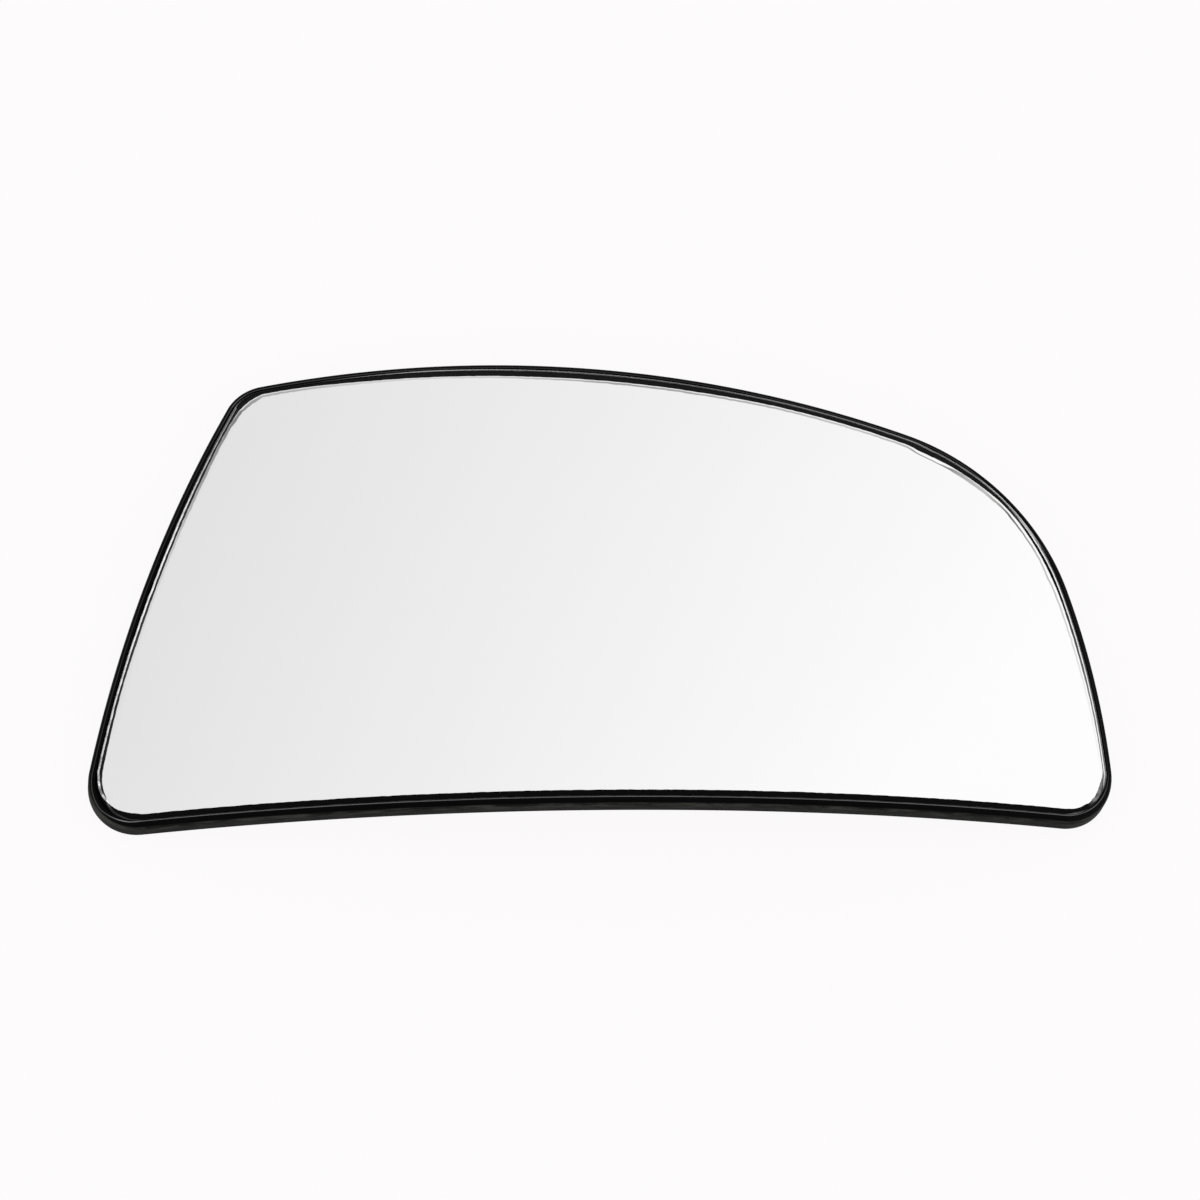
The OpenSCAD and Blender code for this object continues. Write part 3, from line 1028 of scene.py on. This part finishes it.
def rim_section(tree):
    """The rim's section: inner wall, worn crest edge, rounded shoulder, drafted wall and foot."""
    gap, width, proud = tree.some("Rim Gap", "Rim Width", "Rim Proud")
    foot, foot_edge, worn, round_h = tree.some("Foot Depth", "Foot Edge", "Crest Edge", "Rim Round")
    lean = tree.size("Draft").tangent()
    outer = gap + width + (foot - round_h) * lean
    points = [(gap, foot), (gap, worn - proud)]
    for turn in quarter(CREST_STEPS)[1:-1]:
        points.append((gap + worn * (1 - math.cos(turn)), worn * (1 - math.sin(turn)) - proud))
    for turn in quarter(SHOULDER_STEPS):
        along = worn + (width - worn) * math.sin(turn)
        points.append((gap + along, round_h * (1 - math.cos(turn)) - proud))
    points.append((outer - foot_edge * lean, foot - foot_edge))
    for turn in quarter(FOOT_STEPS)[1:]:
        points.append((outer - foot_edge * (1 - math.cos(turn)),
                       foot - foot_edge * (1 - math.sin(turn))))
    return points


def rib_section(tree):
    """A rib's section, from its root inside the plate to its rounded top, with root fillets."""
    half = tree.size("Rib Thickness") * 0.5
    top, fillet, back = tree.some("Rib Edge", "Root Fillet", "Plate Back")
    end = back + tree.size("Rib Height")
    side = [(half + fillet, tree.size("Root"))]
    for turn in quarter(RIB_STEPS):
        side.append((half + fillet * (1 - math.sin(turn)), back + fillet * (1 - math.cos(turn))))
    for turn in quarter(RIB_STEPS):
        side.append((half - top * (1 - math.cos(turn)), end - top * (1 - math.sin(turn))))
    return side + [(-offset, depth) for offset, depth in reversed(side)]


def dome_inputs(form):
    return {"Dome Radius": form.glass.dome_r, "Apex Drop": form.glass.apex_drop, "Lift": form.lift}


def rib_inputs(form, height, root):
    plate = form.plate
    return {"Rib Thickness": plate.rib_t, "Rib Edge": plate.rib_edge, "Rib Height": height,
            "Root Fillet": plate.rib_root, "Plate Back": form.plate_back,
            "Root": form.pad_back + plate.floor_t * root, **dome_inputs(form)}


def rib_path(form):
    plate = form.plate
    edge = form.drawn_in(plate.rib_inset + plate.rib_t / 2, plate.rib_corner_r + plate.rib_t / 2)
    return loop_mesh("rib_path", [s.point(0) for s in edge.stations(form.step * 2)])


def swept_round(tree, points, material):
    """Carries a section round the path that the tree is given, on the dome."""
    flat = tree.sweep(tree.path(), tree.section(points), False)
    tree.finish(tree.lay_on_dome(flat), material)


def make_rim(form, material):
    plate = form.plate
    tree = ShapeTree("Rim Round The Glass", {
        "Rim Gap": plate.rim_gap, "Rim Width": plate.rim_w, "Rim Round": plate.rim_round_h,
        "Rim Proud": plate.rim_proud, "Crest Edge": plate.crest_edge, "Foot Depth": form.foot_back,
        "Foot Edge": plate.foot_edge, "Draft": plate.draft, **dome_inputs(form)})
    swept_round(tree, rim_section(tree), material)
    return tree.run(loop_mesh("rim_path", [s.point(0) for s in form.edge.stations(form.step)]),
                    "rim")


def make_edge_rib(form, material):
    tree = ShapeTree("Rib Beside The Edge", rib_inputs(form, form.plate.edge_rib_h, EDGE_RIB_ROOT))
    swept_round(tree, rib_section(tree), material)
    return tree.run(rib_path(form), "edge_rib")


def make_spokes(form, material):
    """Straight ribs from the clip ring out to the rib beside the edge."""
    plate = form.plate
    tree = ShapeTree("Ribs From The Clip Ring", {
        "Spoke Count": plate.spoke_count, "Start": plate.clip_r + plate.clip_wall / 2,
        **rib_inputs(form, plate.spoke_h, SPOKE_ROOT)})
    count = tree.size("Spoke Count")
    turn = (tree.index() + 0.5) * math.tau / count
    around = tree.vector(X=turn.calc("COSINE", turn), Y=turn.calc("SINE", turn))
    start = tree.add("ShaderNodeVectorMath", {0: around, "Scale": tree.size("Start")},
                     operation="SCALE")
    # A low wall stands on the path, and a ray from each spoke's start finds how far off it is
    wall = tree.sweep(tree.path(), tree.line((0, -MM, 0), (0, MM, 0)), False)
    hit = tree.add("GeometryNodeRaycast", {
        "Target Geometry": wall, "Ray Direction": around, "Ray Length": LONG_RAY})
    bar_path = tree.add("GeometryNodeResampleCurve", {
        "Curve": tree.line((0, 0, 0), (1, 0, 0)), "Count": SPOKE_PIECES})
    bar = tree.sweep(tree.level(bar_path), tree.section(rib_section(tree)), True)
    scale = tree.vector(X=hit.outputs["Hit Distance"], Y=1.0, Z=1.0)
    tree.finish(tree.lay_on_dome(tree.copies(bar, count, start, turn, scale)), material)
    return tree.run(rib_path(form), "spokes")


def make_clip_ring(form, material):
    """Round collar with spring fingers that grip the head of the mirror's adjuster."""
    plate = form.plate
    tree = ShapeTree("Clip Ring With Fingers", {
        "Ring Radius": plate.clip_r, "Wall": plate.clip_wall, "Bead": plate.bead_out,
        "Root": form.pad_back + plate.floor_t * CLIP_ROOT,
        "Mouth": form.plate_back + plate.clip_depth, "Bead Height": plate.bead_h,
        "Bead Edge": plate.bead_edge, "Lead-in": plate.lead_in, "Fingers": plate.finger_count,
        "Slot Width": plate.slot_w, "Finger Length": plate.finger_len})
    inner, wall, root, end = tree.some("Ring Radius", "Wall", "Root", "Mouth")
    bead, bead_h, edge = tree.some("Bead", "Bead Height", "Bead Edge")
    lead, slot, fingers = tree.some("Lead-in", "Slot Width", "Fingers")
    section = tree.section([
        (0.0, root), (0.0, end - lead), (lead, end),
        (wall, end), (wall + bead - edge, end - bead), (wall + bead, end - bead - edge),
        (wall + bead, end - bead_h + edge), (wall + bead - edge, end - bead_h),
        (wall, end - bead_h - bead), (wall, root)])
    circle = tree.add("GeometryNodeCurvePrimitiveCircle",
                      {"Resolution": RING_FACETS, "Radius": inner})
    collar = tree.sweep(tree.level(circle), section, False)
    opening = tree.add("GeometryNodeCurvePrimitiveQuadrilateral", {
        "Width": (tree.size("Finger Length") + MM) * 2.0, "Height": slot})
    rounded = tree.add("GeometryNodeFilletCurve", {
        "Curve": opening, "Radius": slot * SLOT_FILLET, "Count": SLOT_FACETS}, mode="POLY")
    upright = tree.add("GeometryNodeTransform", {
        "Geometry": rounded, "Rotation": (0, 0, math.radians(90))})
    through = tree.line(tree.vector(X=inner - MM, Z=-end),
                        tree.vector(X=inner + wall + bead + MM, Z=-end))
    cutter = tree.sweep(tree.level(through), upright, True)
    cutters = tree.copies(cutter, fingers, (0, 0, 0), tree.index() * math.tau / fingers, (1, 1, 1))
    slotted = tree.add("GeometryNodeMeshBoolean", {"Mesh 1": collar, "Mesh 2": cutters},
                       operation="DIFFERENCE", solver="EXACT")
    tree.finish(slotted, material)
    made = tree.run(bpy.data.meshes.new("clip_ring_seed"), "clip_ring")
    to_sphere = Matrix.Translation((0, 0, form.glass.dome_r))
    tilt = Matrix.Rotation(-form.clip_tilt, 4, "X")
    made.transform(Matrix.Translation(form.sphere_middle()) @ tilt @ to_sphere)
    return made


def make_floor(form, material):
    """The domed floor of the plate, out to the middle of the rim."""
    stations = form.edge.stations(form.step)
    reach = form.plate.rim_gap + form.plate.rim_w / 2
    back, front = form.plate_back, form.pad_back
    middle = Vector((0, 0))
    skin = Shell(len(stations), form.on_dome(middle, back), form.on_dome(middle, front))
    for ring in reversed(domed_rings(form, stations, -reach, back, FLOOR_RINGS)):
        skin.ring(ring, 0)
    for ring in domed_rings(form, stations, -reach, front, FLOOR_RINGS):
        skin.ring(ring, 0)
    skin.close(0, 0)
    mesh = skin.mesh("plate_floor", [material])
    face_outwards(mesh)
    return mesh


def make_plate(form, finish):
    material = plastic_material(finish)
    makers = (make_rim, make_edge_rib, make_spokes, make_clip_ring)
    parts = [make(form, material) for make in makers]
    mesh = united(make_floor(form, material), parts, "backing_plate_dressed")
    measure_from_the_edge(form, mesh)
    shade(mesh, PLATE_CREASE)
    return mesh


def measure_from_the_edge(form, mesh):
    """Stores how far each point lies beyond the edge of the glass, behind its front and along it."""
    stations = form.edge.stations(form.step)
    tree = KDTree(len(stations))
    run = [0.0]
    for i, station in enumerate(stations):
        tree.insert(station.point(0).to_3d(), i)
        if i > 0:
            run.append(run[-1] + (station.point(0) - stations[i - 1].point(0)).length)
    tree.balance()
    middle = form.sphere_middle()
    measures = {"edge_offset": [], "face_depth": [], "along_edge": []}
    outs = []
    for vertex in mesh.vertices:
        flat = Vector((vertex.co.x, vertex.co.y))
        nearest = tree.find(flat.to_3d())[1]
        station = stations[nearest]
        measures["edge_offset"].append((flat - station.point(0)).dot(station.out) / MM)
        measures["face_depth"].append((form.glass.dome_r - (vertex.co - middle).length) / MM)
        measures["along_edge"].append(run[nearest])
        outs.append(station.out)
    for name, values in measures.items():
        carry(mesh, name, values)
    for name in RIM_LOOKS:
        carry(mesh, name, [edge_look(out, name) for out in outs])


# The stage
# Width of the camera's sensor, in mm, and the nearest that it sees, in metres
SENSOR_WIDTH = 36
NEAREST_SEEN = 0.01
# Directions that the sky brightens towards and that its dark side lies in, and the shares of
# each at which the change starts and ends
BRIGHT_WAY, BRIGHT_SPAN = (0.889, -0.4575, 0), (-1, 0.388)
DARK_WAY, DARK_SPAN = (-0.1, -0.84, 0.53), (0.7, 0.95)


def make_camera(stage):
    data = bpy.data.cameras.new("camera")
    data.lens = stage.lens
    data.sensor_width = SENSOR_WIDTH
    data.clip_start = NEAREST_SEEN
    camera = link("camera", data)
    back = (Vector(stage.camera_at) - Vector(stage.camera_aim)).normalized()
    level = Vector((0, 1, 0)).cross(back).normalized()
    upright = back.cross(level)
    turn = stage.camera_roll
    right = math.cos(turn) * level + math.sin(turn) * upright
    axes = Matrix((right, back.cross(right), back)).transposed()
    camera.matrix_world = Matrix.Translation(stage.camera_at) @ axes.to_4x4()
    bpy.context.scene.camera = camera


def seen_rays(tree):
    """1 for what the camera sees, in a mirror and through glass too, and 0 for light."""
    path = tree.nodes.new("ShaderNodeLightPath")
    seen = Field(tree, path.outputs["Is Camera Ray"]) + path.outputs["Is Glossy Ray"]
    both = seen + path.outputs["Is Transmission Ray"]
    return both.calc("MINIMUM", both, 1.0)


def mix_shaders(tree, share, first, second, end):
    """Leads a mix of two shaders to the tree's end node."""
    mix = tree.nodes.new("ShaderNodeMixShader")
    for socket, value in zip(mix.inputs, (share, first, second)):
        plug(tree, socket, value)
    plug(tree, tree.nodes[end].inputs["Surface"], mix)


def make_floor_plane(stage):
    half = stage.floor_size / 2
    mesh = bpy.data.meshes.new("studio_floor")
    mesh.from_pydata([(-half, -half, 0), (half, -half, 0), (half, half, 0), (-half, half, 0)],
                     [], [(0, 1, 2, 3)])
    material = bpy.data.materials.new("studio_floor")
    material.use_nodes = True
    tree = material.node_tree
    tree.nodes.remove(tree.nodes["Principled BSDF"])
    matt = add_node(tree, "ShaderNodeBsdfDiffuse", {"Color": (*stage.floor_colour, 1)})
    glow = add_node(tree, "ShaderNodeEmission", {"Color": (*stage.floor_glow, 1)})
    mix_shaders(tree, seen_rays(tree) * stage.floor_own, matt, glow, "Material Output")
    mesh.materials.append(material)
    floor = link("studio_floor", mesh)


def towards(tree, direction, way, span):
    """How much a direction points a way, from 0 at the start of the span to 1 at its end."""
    along = add_node(tree, "ShaderNodeVectorMath", {0: direction, 1: way}, operation="DOT_PRODUCT")
    return map_range(tree, along.outputs["Value"], *span, 0, 1)


def make_world(stage):
    """Even light from all round, and a soft studio for what the mirror gives back."""
    world = bpy.data.worlds.new("studio")
    world.use_nodes = True
    bpy.context.scene.world = world
    tree = world.node_tree
    tree.nodes.remove(tree.nodes["Background"])
    direction = tree.nodes.new("ShaderNodeTexCoord").outputs["Generated"]
    sky = blend(tree, towards(tree, direction, BRIGHT_WAY, BRIGHT_SPAN),
                stage.sky_dim, stage.sky_bright)
    sky = blend(tree, towards(tree, direction, DARK_WAY, DARK_SPAN), sky, stage.sky_dark)
    light = add_node(tree, "ShaderNodeBackground",
                     {"Color": (*WHITE, 1), "Strength": stage.ambient})
    shown = add_node(tree, "ShaderNodeBackground", {"Color": sky, "Strength": 1})
    mix_shaders(tree, seen_rays(tree), light, shown, "World Output")


def make_lamp(name, stage, at):
    """A square softbox that faces the part."""
    data = bpy.data.lights.new(name, "AREA")
    data.shape = "SQUARE"
    data.size = stage.lamp_size
    data.energy = stage.lamp_power
    lamp = link(name, data)
    lamp.location = at
    lamp.rotation_mode = "QUATERNION"
    lamp.rotation_quaternion = Vector(at).to_track_quat("Z", "Y")


# The operators
class MIRRORGLASS_OT_glass(Operator):
    """Make the domed mirror glass with its ground edge"""

    bl_idname = "mirror_glass.glass"
    bl_label = "Mirror Glass"

    def execute(self, context):
        chosen = settings()
        piece = link("mirror_glass_dressed", make_glass(Form(chosen), chosen.finish))
        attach(piece, BODY)
        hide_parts("mirror_glass")
        return {"FINISHED"}


class MIRRORGLASS_OT_foam(Operator):
    """Give the adhesive foam sheet its finish"""

    bl_idname = "mirror_glass.foam"
    bl_label = "Adhesive Foam"

    def execute(self, context):
        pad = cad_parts["adhesive_pad"]
        pad.data.materials.clear()
        pad.data.materials.append(foam_material(settings().finish))
        return {"FINISHED"}


class MIRRORGLASS_OT_plate(Operator):
    """Make the moulded backing plate with its rim, ribs and clip ring"""

    bl_idname = "mirror_glass.plate"
    bl_label = "Backing Plate"

    def execute(self, context):
        chosen = settings()
        piece = link("backing_plate_dressed", make_plate(Form(chosen), chosen.finish))
        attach(piece, BODY)
        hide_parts("backing_plate")
        return {"FINISHED"}


class MIRRORGLASS_OT_stage(Operator):
    """Set up the camera, the floor and the soft studio light"""

    bl_idname = "mirror_glass.stage"
    bl_label = "Studio Stage"

    def execute(self, context):
        stage = settings().stage
        make_camera(stage)
        make_floor_plane(stage)
        make_world(stage)
        make_lamp("left_softbox", stage, stage.left_lamp)
        make_lamp("right_softbox", stage, stage.right_lamp)
        bpy.context.scene.view_settings.view_transform = "Standard"
        return {"FINISHED"}


class MIRRORGLASS_PT_panel(Panel):
    """Settings and makers of the mirror glass"""

    bl_label = "Mirror Glass"
    bl_idname = "MIRRORGLASS_PT_panel"
    bl_space_type = "VIEW_3D"
    bl_region_type = "UI"
    bl_category = "Mirror Glass"

    def draw(self, context):
        chosen = context.scene.mirror_glass
        for operator in MAKERS:
            self.layout.operator(operator.bl_idname)
        for name in ("outline", "glass", "plate", "finish", "stage"):
            group = getattr(chosen, name)
            box = self.layout.box()
            box.label(text=name.title())
            for key in group.bl_rna.properties.keys():
                if key not in ("rna_type", "name"):
                    box.prop(group, key)


GROUPS = [OutlineSizes, GlassSizes, PlateSizes, FinishSettings, StageSettings, MirrorGlassSettings]
MAKERS = [MIRRORGLASS_OT_glass, MIRRORGLASS_OT_foam, MIRRORGLASS_OT_plate, MIRRORGLASS_OT_stage]


def register():
    for made in GROUPS + MAKERS + [MIRRORGLASS_PT_panel]:
        bpy.utils.register_class(made)
    bpy.types.Scene.mirror_glass = PointerProperty(type=MirrorGlassSettings)


def unregister():
    del bpy.types.Scene.mirror_glass
    for made in reversed(GROUPS + MAKERS + [MIRRORGLASS_PT_panel]):
        bpy.utils.unregister_class(made)


def main():
    register()
    bpy.ops.mirror_glass.glass()
    bpy.ops.mirror_glass.foam()
    bpy.ops.mirror_glass.plate()
    bpy.ops.mirror_glass.stage()


if __name__ == "__main__":
    main()
